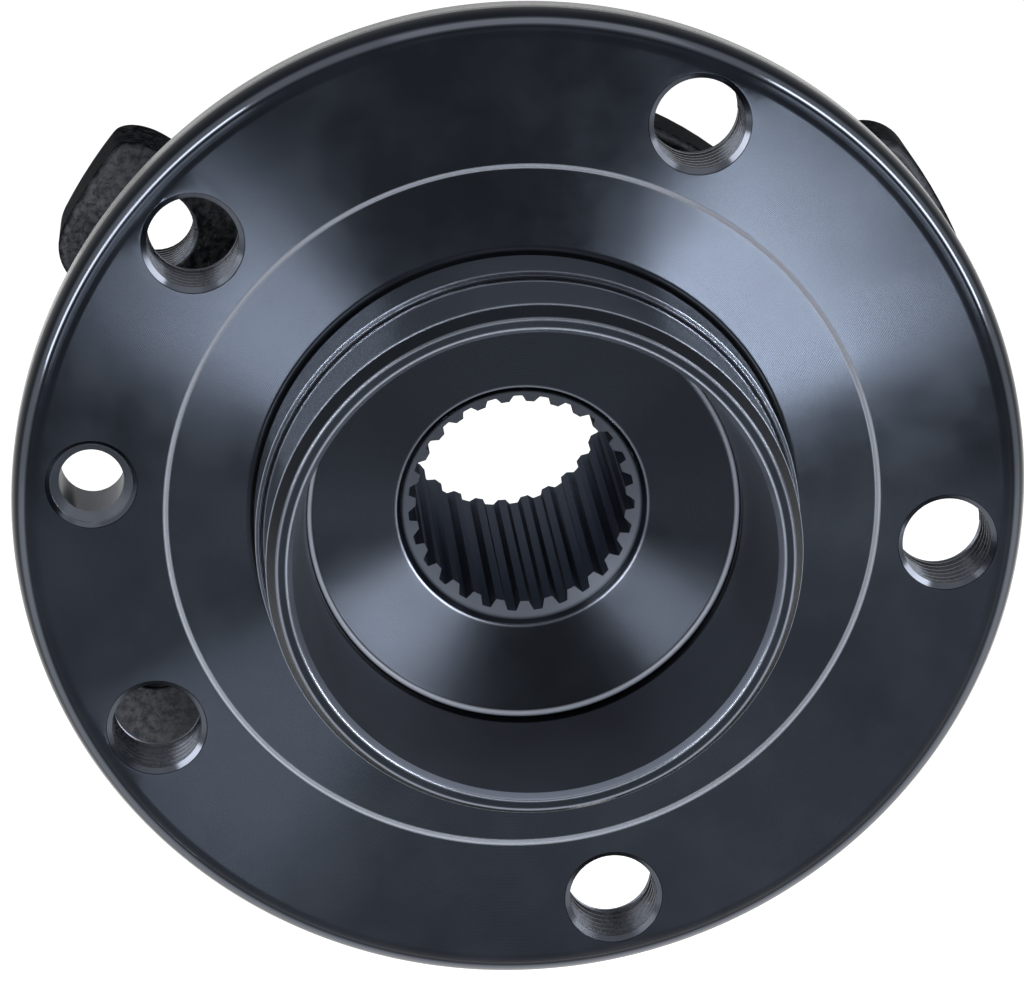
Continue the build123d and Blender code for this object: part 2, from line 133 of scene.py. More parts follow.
class Finish:
    """A material, or the world, under construction."""

    def __init__(self, owner, output="ShaderNodeOutputMaterial"):
        owner.use_nodes = True
        self.tree = owner.node_tree
        self.tree.nodes.clear()
        self.owner = owner
        self.output = self.tree.nodes.new(output)

    def add(self, kind, settings=None, sockets=None):
        """A node of any kind, its settings, and a Wire or a value for each socket."""
        node = self.tree.nodes.new(kind)
        for key, value in (settings or {}).items():
            setattr(node, key, value)
        for key, value in (sockets or {}).items():
            socket = node.inputs[key]
            if isinstance(value, Wire):
                self.tree.links.new(value.socket, socket)
            elif socket.type == "RGBA" and len(value) == 3:
                socket.default_value = (*value, 1.0)
            else:
                socket.default_value = value
        return Outputs(self, node)

    def noise(self, where, scale, detail=3.0, rough=0.5):
        sockets = {"Vector": where, "Scale": scale, "Detail": detail,
                   "Roughness": rough}
        return self.add("ShaderNodeTexNoise", None, sockets)["Fac"]

    def between(self, value, low, high, to_low=0.0, to_high=1.0):
        """A soft step: to_low below low, to_high above high."""
        sockets = {"Value": value, "From Min": low, "From Max": high,
                   "To Min": to_low, "To Max": to_high}
        kind = "ShaderNodeMapRange"
        return self.add(kind, {"interpolation_type": "SMOOTHSTEP"}, sockets)["Result"]

    def mix(self, mask, first, second):
        """The first colour where mask is 0 and the second where it is 1."""
        sockets = {0: mask, 6: first, 7: second}
        return self.add("ShaderNodeMix", {"data_type": "RGBA"}, sockets)[2]

    def bump(self, height, depth):
        """depth is the height in metres that a value of 1 stands for."""
        sockets = {"Height": height, "Distance": depth, "Strength": 1.0}
        return self.add("ShaderNodeBump", None, sockets)["Normal"]

    def close(self, **sockets):
        """Ends the material in one Principled shader. An underscore stands for a space."""
        named = {key.replace("_", " "): value for key, value in sockets.items()}
        shader = self.add("ShaderNodeBsdfPrincipled", None, named)
        self.tree.links.new(shader["BSDF"].socket, self.output.inputs["Surface"])
        return self.owner


def new_finish(name):
    return Finish(bpy.data.materials.new(name))


print("shader helpers ready")

# %% [markdown]
# ## Floor, backdrop and light
# A bright, plain studio: a pale floor well below the part, a white surround, and
# soft panels. The surround is white for the camera and for reflections, through
# Light Path, and a low grey for everything else, so the part isn't flooded. The
# floor is a wide plane whose own colour is lit, plus a glow that the same rays
# see, so its shadow stays. Turned steel shows its light as fans that
# start at the axis, so the panels stand to the left and right of the camera.

# %% Build the surround and the floor
SURROUND_GREY = 0.25    # what the surround lights the part with
FLOOR_GLOW = 0.8        # what the floor adds to its own colour for the camera
FLOOR_LEVEL = -0.30     # metres


def seen_plainly(finish):
    """1 for rays that show the surround itself or its reflection, 0 for scattered light."""
    path = finish.add("ShaderNodeLightPath")
    seen = path["Is Camera Ray"] + path["Is Glossy Ray"] + path["Is Transmission Ray"]
    return seen.func("MINIMUM", 1.0)


world = bpy.data.worlds.new("surround")
bpy.context.scene.world = world
sky = Finish(world, "ShaderNodeOutputWorld")
strength = SURROUND_GREY + seen_plainly(sky) * (1 - SURROUND_GREY)
glow = sky.add("ShaderNodeBackground", None, {"Color": (1, 1, 1), "Strength": strength})
sky.tree.links.new(glow["Background"].socket, sky.output.inputs["Surface"])

bpy.ops.object.select_all(action="DESELECT")
bpy.ops.mesh.primitive_plane_add(size=6.0, location=(0, 0, FLOOR_LEVEL))
floor = bpy.context.object
floor.name = "floor"
paint = new_finish("floor_paint")
pale = paint.add("ShaderNodeBsdfDiffuse", None, {"Color": (0.86, 0.86, 0.86)})
shine = paint.add("ShaderNodeEmission", None,
                  {"Color": (1, 1, 1), "Strength": seen_plainly(paint) * FLOOR_GLOW})
both = paint.add("ShaderNodeAddShader", None, {0: pale["BSDF"], 1: shine["Emission"]})
paint.tree.links.new(both["Shader"].socket, paint.output.inputs["Surface"])
floor.data.materials.append(paint.owner)
print("floor at", FLOOR_LEVEL, "m")

# %% Hang the light panels
def panel(name, place, size, watts, roll=0):
    """A soft panel of size metres that faces the part, rolled by so many degrees."""
    bpy.ops.object.select_all(action="DESELECT")
    bpy.ops.object.light_add(type="AREA", location=place)
    lamp = bpy.context.object
    lamp.name = name
    lamp.data.shape = "RECTANGLE"
    lamp.data.size = size[0]
    lamp.data.size_y = size[1]
    lamp.data.energy = watts
    facing = Vector(place).to_track_quat("Z", "Y")
    lamp.rotation_euler = (facing @ Quaternion((0, 0, 1), math.radians(roll))).to_euler()
    lamp.visible_camera = False
    print(name, "at", [round(v, 2) for v in place], "m,", watts, "W")


panel("panel_right", (0.461, -0.998, 0.019), (0.10, 0.41), 11.5, 41)
panel("panel_left", (-0.341, -1.044, -0.029), (0.10, 0.26), 4.5, -35)
panel("panel_top", (0.1, -0.5, 1.1), (0.9, 0.5), 0.8)
panel("panel_side_right", (0.894, -0.458, 0.447), (0.14, 0.80), 5.0, 27)
panel("panel_side_left", (-0.870, -0.563, 0.370), (0.14, 0.85), 4.5, -25)
panel("panel_low_left", (-0.125, -0.26, -0.27), (0.05, 0.16), 0.2, 29)
panel("panel_low", (0.054, -0.233, -0.256), (0.30, 0.12), 0.12)

# %% [markdown]
# ## The turned hub
# A hub forging is finished on a lathe, so one closed outline turned about the spin
# axis gives nearly all of it. Such a shape could be spun from a drawn line, but
# here a circle is extruded from corner to corner of the outline and resized about
# the axis each time, the way a potter raises a wall, because then each ring stays
# selected for the next move. Real corners are never sharp: each corner of the
# outline gets a small round, and that is where the light catches.

# %% Outline of the hub, radius and depth in mm, with each corner's round
SPLINE_TIP, SPLINE_ROOT = 14.8, 15.9
SPLINE_TEETH = 27
BORE_FRONT, BORE_BACK = 5.2, 50.1
LEAD_IN = (17.55, 2.9)    # where the bore's front cone starts
BALL_CIRCLE, BALL_ROW, BALL_GROOVE = 33.0, 27.6, 6.08


def raceway(high, low, steps=12):
    """Points of the ball groove between a high and a low shoulder, ready for the outline."""
    start = -math.acos((BALL_CIRCLE - high) / BALL_GROOVE)
    stop = math.acos((BALL_CIRCLE - low) / BALL_GROOVE)
    arc = []
    for k in range(steps + 1):
        turn = start + (stop - start) * k / steps
        arc.append((BALL_CIRCLE - BALL_GROOVE * math.cos(turn),
                    BALL_ROW + BALL_GROOVE * math.sin(turn), 0.0))
    return arc


HUB_OUTLINE = [
    (33.4, -23.05, 0.25), (34.9, -23.05, 0.3), (36.25, -20.6, 0.25),
    (36.25, -9.5, 0.2), (36.9, -9.5, 0.2), (37.45, -8.95, 0.15),
    (37.45, 0.4, 1.15), (49.45, 0.4, 0.15), (49.85, 0.0, 0.6),
    (71.0, 0.0, 3.8), (71.0, 6.9, 1.0), (67.6, 10.8, 0.5),
    (33.5, 10.8, 4.5), (33.5, 19.6, 0.2), (30.2, 19.6, 0.3), *raceway(30.2, 27.4),
    (27.4, 36.0, 0.2), (22.0, 36.0, 0.8), (22.0, 55.4, 0.0), (27.0, 55.4, 0.2),
    (27.0, 59.4, 2.2), (18.9, 59.4, 0.4), (16.2, 51.5, 0.4),
    (SPLINE_TIP, BORE_BACK, 0.0), (SPLINE_TIP, BORE_FRONT, 0.0), (*LEAD_IN, 0.15), (30.2, 0.4, 1.4),
    (32.7, -22.0, 0.3),
]


def rounded(corners, bend=20):
    """The outline with each corner turned into an arc, one point for every bend degrees."""
    points = []
    count = len(corners)
    for i, (r, y, radius) in enumerate(corners):
        here = Vector((r, y))
        if radius == 0:
            points.append(here)
            continue
        back = (Vector(corners[i - 1][:2]) - here).normalized()
        ahead = (Vector(corners[(i + 1) % count][:2]) - here).normalized()
        half = back.angle(ahead) / 2
        middle = here + (back + ahead).normalized() * radius / math.sin(half)
        start = here + back * radius / math.tan(half) - middle
        stop = here + ahead * radius / math.tan(half) - middle
        sweep = start.angle(stop)
        steps = max(2, round(math.degrees(sweep) / bend))
        for k in range(steps + 1):
            t = k / steps
            arm = (start * math.sin((1 - t) * sweep) + stop * math.sin(t * sweep))
            points.append(middle + arm / math.sin(sweep))
    return points


outline = rounded(HUB_OUTLINE)
print("hub outline has", len(outline), "points")

# %% Raise a turned shape, ring by ring
BASE_TURN = math.pi / 2    # lays a flat shape into the XZ plane


def start_edit(obj):
    """Edit mode on obj alone, with points as what is selected."""
    bpy.ops.object.select_all(action="DESELECT")
    obj.select_set(True)
    bpy.context.view_layer.objects.active = obj
    bpy.ops.object.mode_set(mode="EDIT")
    bpy.ops.mesh.select_mode(type="VERT")


def end_edit():
    bpy.ops.object.mode_set(mode="OBJECT")


def turned(name, points, steps, closed=True):
    """A body of revolution about the spin axis, from points of radius and depth in mm."""
    bpy.ops.object.select_all(action="DESELECT")
    first = points[0]
    bpy.ops.mesh.primitive_circle_add(vertices=steps, radius=first[0] * MM,
                                      location=(0, first[1] * MM, 0),
                                      rotation=(BASE_TURN, 0, 0))
    piece = bpy.context.object
    piece.name = name
    piece.data.name = name
    bpy.ops.object.transform_apply(location=True, rotation=True, scale=True)
    start_edit(piece)
    bpy.ops.mesh.select_all(action="SELECT")
    rest = list(points[1:]) + ([points[0]] if closed else [])
    for before, after in zip([first] + rest, rest):
        bpy.ops.mesh.extrude_edges_move(
            TRANSFORM_OT_translate={"value": (0, (after[1] - before[1]) * MM, 0)})
        scale = after[0] / before[0]
        if abs(scale - 1) > 1e-9:    # a straight wall needs no resize
            bpy.ops.transform.resize(value=(scale, 1, scale), center_override=(0, 0, 0))
    bpy.ops.mesh.select_all(action="SELECT")
    bpy.ops.mesh.remove_doubles(threshold=0.000001)
    bpy.ops.mesh.normals_make_consistent(inside=False)
    end_edit()
    return piece


TOOTH_STEPS = 12
RING_STEPS = SPLINE_TEETH * TOOTH_STEPS
hub = turned("hub_body", outline, RING_STEPS)
print("hub body has", len(hub.data.polygons), "faces on", RING_STEPS, "steps")

# %% [markdown]
# ## The spline
# The bore carries 27 teeth that grip the drive shaft. They could be cut with a
# boolean, which leaves long thin faces, but the body was turned with twelve steps
# to a tooth, so the spaces between the teeth can be pulled out of the bore's own
# points: five of the twelve go out to the root, the next one on each side goes
# half way, and the rest stay at the tip. Points that move out also slide along the
# two lead-in cones, so the ends of the spaces stay on them.

# %% Pull the spline's spaces out of the bore
STEP_ANGLE = 360 / RING_STEPS
FRONT_SLOPE = (BORE_FRONT - LEAD_IN[1]) / (LEAD_IN[0] - SPLINE_TIP)
BACK_SLOPE = 1.0
HALF_WAY = (SPLINE_TIP + SPLINE_ROOT) / 2
NEARLY = 0.02    # mm, how close a point must be to count as on a radius or a depth


def select_points(obj, wanted):
    """Selects the points that wanted(x, y, z in mm) is true for. Call it in object mode."""
    count = 0
    for vertex in obj.data.vertices:
        x, y, z = vertex.co / MM
        vertex.select = bool(wanted(x, y, z))
        count += vertex.select
    for edge in obj.data.edges:
        edge.select = False
    for face in obj.data.polygons:
        face.select = False
    return count


def in_space(x, z, steps):
    """Whether a point is one of those steps of a tooth away from a space's middle."""
    turn = math.degrees(math.atan2(z, x)) / STEP_ANGLE
    half = TOOTH_STEPS / 2
    offset = (turn + half) % TOOTH_STEPS - half
    return any(abs(offset - step) < 0.3 for step in steps)


for steps, reach in (((-2, -1, 0, 1, 2), SPLINE_ROOT), ((-3, 3), HALF_WAY)):
    for depth, slide in ((BORE_FRONT, -FRONT_SLOPE), (BORE_BACK, BACK_SLOPE)):
        moved = select_points(hub, lambda x, y, z: abs(math.hypot(x, z) - SPLINE_TIP) < NEARLY
                              and abs(y - depth) < NEARLY and in_space(x, z, steps))
        bpy.context.view_layer.objects.active = hub
        bpy.ops.object.mode_set(mode="EDIT")
        scale = reach / SPLINE_TIP
        bpy.ops.transform.resize(value=(scale, 1, scale), center_override=(0, 0, 0))
        bpy.ops.transform.translate(value=(0, slide * (reach - SPLINE_TIP) * MM, 0))
        bpy.ops.object.mode_set(mode="OBJECT")
        print("moved", moved, "points to radius", round(reach, 2), "at depth", depth)

# %% [markdown]
# ## Holes in the flange
# Five tapped holes take the wheel bolts, and a sixth, smaller and countersunk,
# takes the screw that holds the brake disc. Each is a turned plug that a boolean
# takes out of the flange: the one modifier that keeps a clean edge where a round
# hole crosses the rings of a turned face. The plug is wide enough for the roots of
# the thread, and its mouth is bevelled as the real hole is.

# %% Drill the holes
def polar(radius, degrees):
    angle = math.radians(degrees)
    return radius * math.cos(angle), radius * math.sin(angle)


HOLE_CIRCLE, BOLT_TURN, BOLT_COUNT = 60, -4, 5
BOLT_PLACES = [polar(HOLE_CIRCLE, BOLT_TURN + 360 / BOLT_COUNT * i) for i in range(BOLT_COUNT)]
SCREW_PLACE = polar(HOLE_CIRCLE, 176)
PLUG_STEPS = 64
THREAD_ROOT, THREAD_CREST, THREAD_PITCH = 6.95, 6.25, 1.5


def move_mesh(obj, offset):
    start_edit(obj)
    bpy.ops.mesh.select_all(action="SELECT")
    bpy.ops.transform.translate(value=Vector(offset) * MM)
    end_edit()


def capped(name, points, steps):
    """A turned plug whose two ends are closed."""
    piece = turned(name, points, steps, closed=False)
    start_edit(piece)
    bpy.ops.mesh.select_all(action="SELECT")
    bpy.ops.mesh.fill_holes(sides=0)
    bpy.ops.mesh.select_all(action="SELECT")
    bpy.ops.mesh.normals_make_consistent(inside=False)
    end_edit()
    return piece


def cut(piece, plugs):
    """Takes the plugs, joined to one, out of the piece with one boolean."""
    bpy.ops.object.select_all(action="DESELECT")
    for plug in plugs:
        plug.select_set(True)
    bpy.context.view_layer.objects.active = plugs[0]
    bpy.ops.object.join()
    bpy.ops.object.select_all(action="DESELECT")
    bpy.context.view_layer.objects.active = piece
    piece.select_set(True)
    modifier = piece.modifiers.new("cut", "BOOLEAN")
    modifier.operation = "DIFFERENCE"
    modifier.solver = "EXACT"
    modifier.object = plugs[0]
    bpy.ops.object.modifier_apply(modifier=modifier.name)
    bpy.data.objects.remove(plugs[0])


def open_edges(piece):
    """How many edges don't lie between exactly two faces. A closed piece has none."""
    start_edit(piece)
    bpy.ops.mesh.select_all(action="DESELECT")
    bpy.ops.mesh.select_non_manifold()
    end_edit()
    return sum(edge.select for edge in piece.data.edges)


BOLT_PLUG = [
    (8.433, -1.0), (7.1, 0.0), (6.3, 0.6), (6.3, 0.8), (THREAD_ROOT, 1.1),
    (THREAD_ROOT, 9.6), (6.3, 9.85), (6.3, 10.0), (7.1, 10.8), (8.1, 11.8),
]
SCREW_PLUG = [(7.35, -1.0), (6.35, 0.0), (4.5, 1.85), (4.5, 12.0)]
plugs = []
for i, (x, z) in enumerate(BOLT_PLACES + [SCREW_PLACE]):
    plugs.append(capped("plug", BOLT_PLUG if i < BOLT_COUNT else SCREW_PLUG, PLUG_STEPS))
    move_mesh(plugs[-1], (x, 0, z))
cut(hub, plugs)
loose = open_edges(hub)
print("after six holes the hub has", len(hub.data.polygons), "faces and", loose, "open edges")

# %% [markdown]
# ## Broken edges
# A machinist takes the burr off every edge, and the narrow round that is left
# catches a line of light. A Bevel modifier does the same to every edge above an
# angle. The faces are then shaded smooth, with their normals weighted by area, so
# that the large flat faces stay flat right up to the rounds.

# %% Break the sharp edges
SHARP = math.radians(28)    # an edge that turns by more counts as sharp


def finish_edges(piece, width):
    """A small round on every sharp edge, unless width is 0, then smooth shading."""
    bpy.ops.object.select_all(action="DESELECT")
    bpy.context.view_layer.objects.active = piece
    piece.select_set(True)
    if width:
        modifier = piece.modifiers.new("edges", "BEVEL")
        modifier.limit_method = "ANGLE"
        modifier.angle_limit = SHARP
        modifier.width = width * MM
        modifier.segments = 2
        modifier.use_clamp_overlap = True
        bpy.ops.object.modifier_apply(modifier=modifier.name)
    bpy.ops.object.shade_smooth_by_angle(angle=SHARP)
    normals = piece.modifiers.new("normals", "WEIGHTED_NORMAL")
    normals.keep_sharp = True
    bpy.ops.object.modifier_apply(modifier=normals.name)


finish_edges(hub, 0.1)
print("with broken edges it has", len(hub.data.polygons), "faces")

# %% [markdown]
# ## Threads
# A thread is one ridge that climbs round the hole. The Screw modifier sweeps a
# small four-sided section round an axis while it climbs, which is the ridge itself.
# It is made once, its ends are closed, and each tapped hole gets its own copy.

# %% Sweep the thread's ridge
RIDGE_SINK = 0.15         # mm that a ridge reaches into the wall behind it
CREST_SHARE = 0.16        # width of the ridge's crest, as a share of its foot
RIDGE_STEPS = 40          # steps to a turn


def thread_ridge(name, root, crest, pitch, start, stop):
    """A ridge for a tapped hole about the Y axis, from depth start to stop, in mm."""
    bpy.ops.object.select_all(action="DESELECT")
    bpy.ops.mesh.primitive_plane_add(size=pitch * MM, rotation=(BASE_TURN, 0, 0))
    ridge = bpy.context.object
    ridge.name = name
    bpy.ops.object.transform_apply(location=True, rotation=True, scale=True)
    foot = root + RIDGE_SINK
    middle = (foot + crest) / 2
    start_edit(ridge)
    bpy.ops.mesh.select_all(action="SELECT")
    bpy.ops.transform.resize(value=((foot - crest) / pitch, 1, 1))
    bpy.ops.transform.translate(value=(middle * MM, 0, 0))
    end_edit()
    select_points(ridge, lambda x, y, z: x < middle)
    bpy.ops.object.mode_set(mode="EDIT")
    bpy.ops.transform.resize(value=(1, 1, CREST_SHARE))
    end_edit()
    modifier = ridge.modifiers.new("climb", "SCREW")
    modifier.axis = "Z"
    modifier.screw_offset = pitch * MM
    modifier.iterations = round((stop - start) / pitch)
    modifier.steps = modifier.render_steps = RIDGE_STEPS
    modifier.use_merge_vertices = False
    bpy.ops.object.modifier_apply(modifier=modifier.name)
    start_edit(ridge)
    bpy.ops.mesh.select_all(action="SELECT")
    bpy.ops.mesh.fill_holes(sides=0)
    bpy.ops.mesh.select_all(action="SELECT")
    bpy.ops.mesh.normals_make_consistent(inside=False)
    bpy.ops.transform.rotate(value=BASE_TURN, orient_axis="X", center_override=(0, 0, 0))
    end_edit()
    depths = [v.co.y / MM for v in ridge.data.vertices]
    move_mesh(ridge, (0, (start + stop) / 2 - (min(depths) + max(depths)) / 2, 0))
    bpy.ops.object.shade_smooth_by_angle(angle=SHARP)
    return ridge


def own_copy(piece, name, offset):
    """A copy with a mesh of its own, moved inside that mesh by offset mm."""
    twin = piece.copy()
    twin.data = piece.data.copy()
    twin.name = twin.data.name = name
    bpy.context.scene.collection.objects.link(twin)
    move_mesh(twin, offset)
    return twin


ridge = thread_ridge("bolt_thread", THREAD_ROOT, THREAD_CREST, THREAD_PITCH, 1.15, 9.75)
bolt_threads = [own_copy(ridge, f"bolt_thread_{i + 1}", (x, 0, z))
                for i, (x, z) in enumerate(BOLT_PLACES)]
bpy.data.objects.remove(ridge)
print("threads:", len(bolt_threads), "of", len(bolt_threads[0].data.polygons), "faces each")

# %% [markdown]
# ## The outer ring
# The forged outer ring has the right shape already, all but the threads in its
# ears: its four holes are drilled to the core. A forging is tedious to push out of
# a primitive, so a copy of the solid is taken instead. Its loose triangles are
# merged, the holes are opened to the roots of an M12 thread, and a ridge goes in
# each, as in the flange. One ear is narrower on its upper side: points in four
# bands across it are pulled in, less and less towards the ring, so that its side
# still runs out smoothly.

# %% Copy the ring and open its holes
MERGE_WITHIN = 0.000002    # metres
EAR_FRONT, EAR_BACK = 31.1, 42.9    # depths between which an ear's hole is opened
EAR_PLACES = [(51.2, 32.0), (-51.2, 32.0), (-51.2, -32.0), (51.2, -32.0)]
EAR_ROOT, EAR_CREST, EAR_PITCH = 5.95, 5.4, 1.25
bpy.ops.object.select_all(action="DESELECT")
outer = nodes["outer_ring"].copy()
outer.data = nodes["outer_ring"].data.copy()
outer.name = outer.data.name = "outer_ring_forging"
bpy.context.scene.collection.objects.link(outer)
bpy.ops.object.select_all(action="DESELECT")
outer.select_set(True)
bpy.context.view_layer.objects.active = outer
bpy.ops.mesh.customdata_custom_splitnormals_clear()
start_edit(outer)
bpy.ops.mesh.select_all(action="SELECT")
bpy.ops.mesh.remove_doubles(threshold=MERGE_WITHIN)
end_edit()
plugs = []
for x, z in EAR_PLACES:
    plugs.append(capped("plug", [(EAR_ROOT, EAR_FRONT), (EAR_ROOT, EAR_BACK)], PLUG_STEPS))
    move_mesh(plugs[-1], (x, 0, z))
cut(outer, plugs)
print("ring copied, with", len(EAR_PLACES), "holes opened")

# %% Slim one ear
SLIM_EAR = 148.0                    # degrees, where the ear points
SLIM_FROM, SLIM_TO = 7.0, 10.2      # mm from the ear's centre line
EAR_SIDE = 12.8                     # where its side was
EAR_DEPTH = 30.0                    # only points behind this depth belong to an ear
SLIM_BANDS = [    # from and to, in mm from the spin axis, and the share of the pull
    (54.6, 99.0, 1.0), (52.8, 54.6, 0.75), (50.8, 52.8, 0.45), (48.5, 50.8, 0.15),
]
along_x, along_z = polar(1.0, SLIM_EAR)
along = Vector((along_x, 0, along_z))
across = Vector((along.z, 0, -along.x))
for low, high, share in SLIM_BANDS:
    count = select_points(outer, lambda x, y, z: Vector((x, y, z)).dot(across) > SLIM_FROM
                          and low < Vector((x, y, z)).dot(along) <= high and y > EAR_DEPTH)
    slim = 1 - share * (EAR_SIDE - SLIM_TO) / (EAR_SIDE - SLIM_FROM)
    bpy.context.view_layer.objects.active = outer
    bpy.ops.object.mode_set(mode="EDIT")
    bpy.ops.transform.resize(value=(1, slim, 1), orient_type="GLOBAL", orient_matrix_type="GLOBAL",
                             orient_matrix=(along, across, (0, 1, 0)),
                             center_override=across * SLIM_FROM * MM)
    end_edit()
    print("pulled", count, "points of the upper left ear in, from", low, "mm out")
finish_edges(outer, 0)
loose = open_edges(outer)
print("outer ring:", len(outer.data.polygons), "faces and", loose, "open edges")

# %% Thread the ears
ridge = thread_ridge("ear_thread", EAR_ROOT, EAR_CREST, EAR_PITCH, 31.9, 42.1)
ear_threads = [own_copy(ridge, f"ear_thread_{i + 1}", (x, 0, z))
               for i, (x, z) in enumerate(EAR_PLACES)]
bpy.data.objects.remove(ridge)
print("ear threads:", len(ear_threads), "of", len(ear_threads[0].data.polygons), "faces each")

# %% [markdown]
# ## Places on a turned part
# Nearly all of the finish follows the lathe: it depends on how far a point is from
# the spin axis and how deep it is. Object coordinates give both, because every
# piece keeps its place in its mesh and its object at the origin.

# %% Distance from the axis, and depth
def lathe_place(finish):
    """The point, its distance from the spin axis and its depth, all in millimetres."""
    point = finish.add("ShaderNodeTexCoord")["Object"]
    sockets = {0: point, 3: 1000.0}
    scaled = finish.add("ShaderNodeVectorMath", {"operation": "SCALE"}, sockets)["Vector"]
    split = finish.add("ShaderNodeSeparateXYZ", None, {"Vector": scaled})
    radius = (split["X"] * split["X"] + split["Z"] * split["Z"]).func("SQRT")
    return scaled, radius, split["Y"]


def distance(first, first_at, second, second_at):
    """How far a point is from a place, told by two of its measures in mm."""
    return ((first - first_at) ** 2 + (second - second_at) ** 2).func("SQRT")


def turning_lines(finish, radius, depth):
    """A vector that only changes across the lathe's lines, so a noise on it draws rings."""
    sockets = {"X": radius, "Y": depth, "Z": 0.0}
    return finish.add("ShaderNodeCombineXYZ", None, sockets)["Vector"]


print("places on a turned part are told in mm")

# %% [markdown]
# ## Blue-black coated steel
# The hub is turned steel under a thin glossy coating. The tool's feed marks stay
# visible through it as very fine rings. Seen under a lamp, such rings spread the
# light into a fan that starts at the axis, as on a record. Modelled rings would
# need millions of faces, so a Bump node draws them: a saw tooth of the radius,
# squared, whose lean says to which side its slopes look. On the flat faces they
# look outward and on the sloping floor of the cup they look inward, so the fans on
# the floor lie opposite to the ones on the flange.

# %% Rubbed edges of the hub, partly painted highlights
# Painted highlight and wear: bright lines on these edges, partly rubbed bare steel and partly light
# that the edges would catch.
WORN_AND_HIGHLIT_EDGES = [    # radius, depth and width in mm, and strength up to 1
    (49.65, 0.2, 0.5, 0.5), (17.6, 2.85, 0.35, 0.12), (29.75, 0.1, 0.55, 0.6),
    (33.4, -23.05, 0.4, 0.35), (34.9, -23.05, 0.4, 0.3), (36.25, -20.6, 0.4, 0.3),
    (36.25, -9.6, 0.4, 0.3), (36.9, -9.5, 0.4, 0.3), (37.45, -8.95, 0.4, 0.3),
    (69.55, 0.8, 0.8, 0.2),
]


def worn_and_highlit(finish, radius, depth, edges):
    """How bright each edge is painted, partly rubbed bare coating and partly painted highlight,
    strongest at the middle of each edge.
    """
    total = 0.0
    for r, y, width, strength in edges:
        away = distance(radius, r, depth, y)
        total = finish.between(away, width * 0.3, width, strength, 0.0) + total
    return total.func("MINIMUM", 1.0)


print("rubbed edges:", len(WORN_AND_HIGHLIT_EDGES))

# %% [markdown]
# Some places of the hub don't look like the rest: the holes and their bevelled
# mouths, the rolled rim, the floor and the wall of the cup, the splined bore, the
# pilot's outside, and two rings at a tool's step that carry a fine painted
# highlight line. A mask for each is 1 there and 0 elsewhere, and comes from radius
# and depth alone, or from the distance to the nearest hole.

# %% Masks for the places of the hub
def from_holes(finish, point, places):
    """Distance in mm to the nearest of the hole axes."""
    split = finish.add("ShaderNodeSeparateXYZ", None, {"Vector": point})
    nearest = None
    for x, z in places:
        away = distance(split["X"], x, split["Z"], z)
        nearest = away if nearest is None else nearest.func("MINIMUM", away)
    return nearest


def above(finish, value, low, high):
    """0 below low and 1 above high."""
    return finish.between(value, low, high)


def below(finish, value, low, high):
    """1 below low and 0 above high."""
    return finish.between(value, low, high, 1.0, 0.0)


def hub_zones(finish, point, radius, depth):
    """A mask for each place that looks unlike the coated faces. Measures are in mm."""
    hole = from_holes(finish, point, BOLT_PLACES + [SCREW_PLACE])
    pilot = below(finish, depth, -0.9, -0.5)
    cup_side = above(finish, radius, 30.4, 30.5) * below(finish, radius, 33.3, 33.4)
    mouth_depth = above(finish, depth, 0.03, 0.08) * below(finish, depth, 0.62, 0.72)
    return {
        "in_hole": below(finish, hole, 7.0, 7.15) * above(finish, depth, 0.62, 0.72),
        "mouth": below(finish, hole, 7.3, 7.4) * mouth_depth,
        "rim": above(finish, radius, 68.2, 68.9) * below(finish, depth, 2.6, 3.6),
        "cup_floor": below(finish, radius, 30.0, 30.6) * above(finish, depth, -1.0, -0.2),
        "cup_wall": pilot * cup_side,
        "bore": below(finish, radius, 16.4, 17.0),
        "pilot_wall": pilot * above(finish, radius, 36.1, 36.2),
        "step": below(finish, distance(radius, 49.65, depth, 0.2), 0.35, 0.5),
        "foot": below(finish, distance(radius, 29.75, depth, 0.1), 0.35, 0.55),
    }


print("masks for the hub are ready")

# %% [markdown]
# The grooves are drawn next. Their lean grows from 0 on the cup's floor to its
# full value on the flange. They are cut deeper on the pilot's outside, where the
# light only grazes them, and fade out in the holes, in the bore and on the rim.

# %% Feed marks of the lathe
GROOVE = 0.22             # mm from one groove to the next
GROOVE_DEPTH = 0.0125     # mm
GROOVE_LEAN = 2.48        # on the flange; it sets how far outward the slopes look
DEPTH_SHARE = 0.7         # lets the rings go on over walls that run along the axis
PILOT_RIPPLE = 21.0


def feed_marks(finish, radius, depth, zones):
    """The normal over the grooves that the lathe's tool left."""
    saw = ((radius + depth * DEPTH_SHARE) / GROOVE).func("FRACT")
    lean = finish.between(radius, 36.5, 37.5, 0.0, GROOVE_LEAN) * above(finish, depth, -0.7, -0.1)
    smooth = zones["in_hole"].func("MAXIMUM", zones["mouth"])
    ripple = (saw - lean) ** 2 * (1.0 - smooth) * (1.0 - zones["cup_wall"] * 0.97)
    ripple = ripple * (1.0 + zones["pilot_wall"] * PILOT_RIPPLE)
    ripple = ripple * (1.0 - zones["bore"] * 0.9) * (1.0 - zones["rim"])
    return finish.bump(ripple, GROOVE_DEPTH * MM)


print("grooves are", GROOVE, "mm apart")
